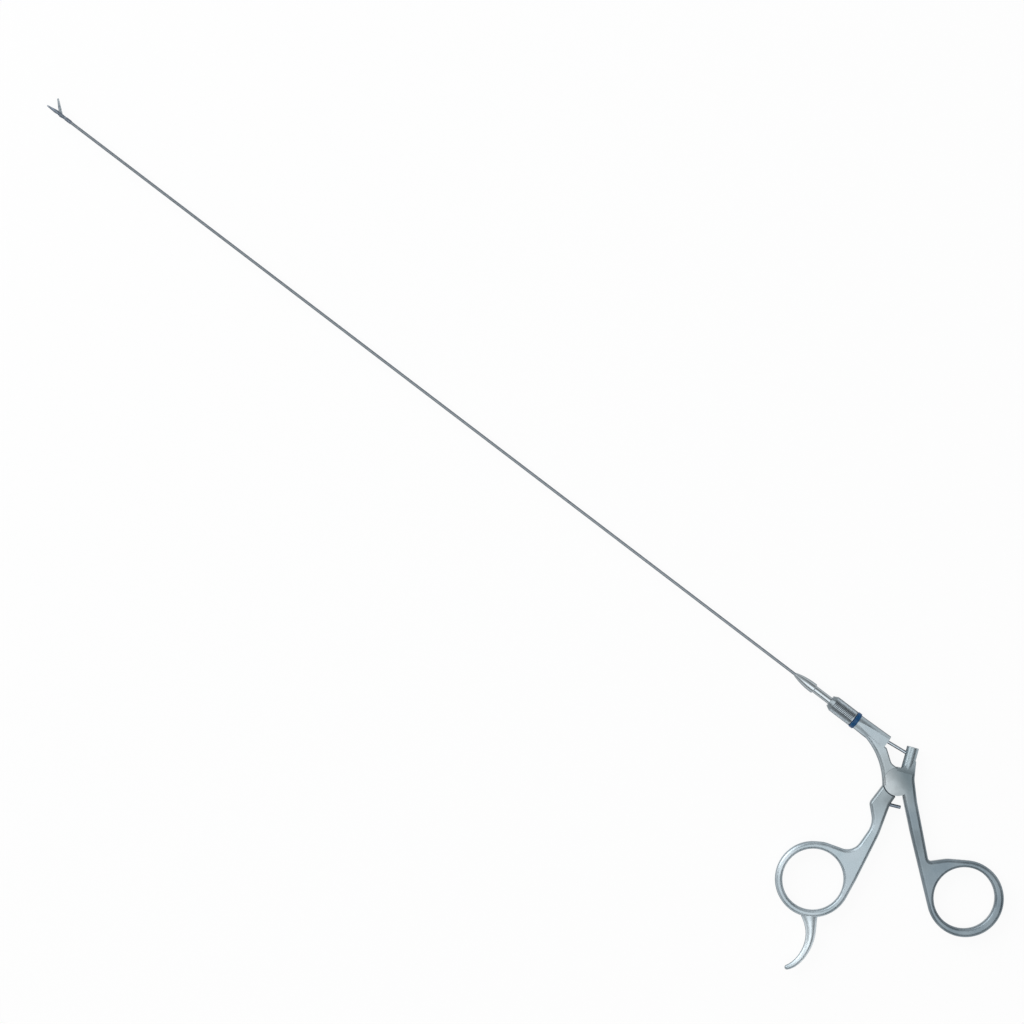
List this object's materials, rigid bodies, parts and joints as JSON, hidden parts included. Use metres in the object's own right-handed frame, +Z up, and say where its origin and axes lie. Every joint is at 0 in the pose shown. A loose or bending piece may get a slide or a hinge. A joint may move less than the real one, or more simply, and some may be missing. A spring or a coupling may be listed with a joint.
{
  "type": "endoscopic scissor forceps",
  "caption": "Semi-rigid endoscopic scissors: slim sheath with a single-action scissor jaw, knurled turning sleeve, box-jointed ring handle with a finger hook and pull-wire drive.",
  "frame": {"origin": "on the ground under the middle of the whole instrument's bounding box, with the jaw open", "axes": "+X along the shaft from the jaw back to the handle, +Y across the shaft away from the finger ring, +Z up, square to the plane of the levers"},
  "size_m": [0.5304, 0.1086, 0.0075],
  "materials": {
    "satin_steel": "fine glass-bead satin, edges polished brighter",
    "polished_steel": "polished stainless steel",
    "sheath_steel": "smooth drawn stainless steel tube, bluish grey",
    "jaw_steel": "polished and ground hard steel",
    "spring_steel": "drawn spring wire",
    "blue_ring": "blue anodised",
    "seal_rubber": "matt seal rubber",
    "seal_plastic": "white bearing plastic"
  },
  "bodies": {
    "fixed_handle": {"fixed_handle": "satin_steel", "stop_stud": "polished_steel", "colour_ring": "blue_ring", "retaining_ring": "spring_steel"},
    "thumb_handle": {"thumb_handle": "satin_steel", "stub_cap": "polished_steel", "pivot_rivet": "satin_steel"},
    "drive_rod": {"drive_rod": "polished_steel", "drive_ball": "polished_steel"},
    "front_end": {"knurled_sleeve": "satin_steel", "stem_spindle": "polished_steel", "spindle_seal": "seal_rubber", "rod_seal": "seal_plastic", "nose_cone": "polished_steel", "sheath_tube": "sheath_steel", "jaw_housing": "jaw_steel", "jaw_pivot_pin": "jaw_steel"},
    "pull_wire": {"pull_wire": "spring_steel", "wire_ferrule": "spring_steel", "wire_tab": "spring_steel", "drive_pin": "jaw_steel"},
    "blade": {"blade": "jaw_steel"}
  },
  "joints": [
    {"name": "thumb_lever_close", "type": "hinge", "parent": "fixed_handle", "child": "thumb_handle", "pos_m": [0.19576, 0.03783, 0.00375], "axis": [0, 0, -1], "range_deg": [0, 7]},
    {"name": "drive_rod_slide", "type": "slide", "parent": "fixed_handle", "child": "drive_rod", "axis": [1, 0, 0], "range_m": [0, 0.00155]},
    {"name": "sheath_turn", "type": "hinge", "parent": "fixed_handle", "child": "front_end", "pos_m": [0.16597, 0.04773, 0.00375], "axis": [1, 0, 0], "continuous": true},
    {"name": "pull_wire_slide", "type": "slide", "parent": "front_end", "child": "pull_wire", "axis": [1, 0, 0], "range_m": [0, 0.00038]},
    {"name": "blade_close", "type": "hinge", "parent": "front_end", "child": "blade", "pos_m": [-0.25816, 0.04773, 0.00375], "axis": [0, 0, 1], "range_deg": [0, 45]}
  ],
  "couplings": [
    {"joint": "drive_rod_slide", "follows": "thumb_lever_close", "m_per_rad": 0.012667},
    {"joint": "pull_wire_slide", "follows": "thumb_lever_close", "m_per_rad": 0.0031103},
    {"joint": "blade_close", "follows": "thumb_lever_close", "ratio": 6.4286}
  ]
}
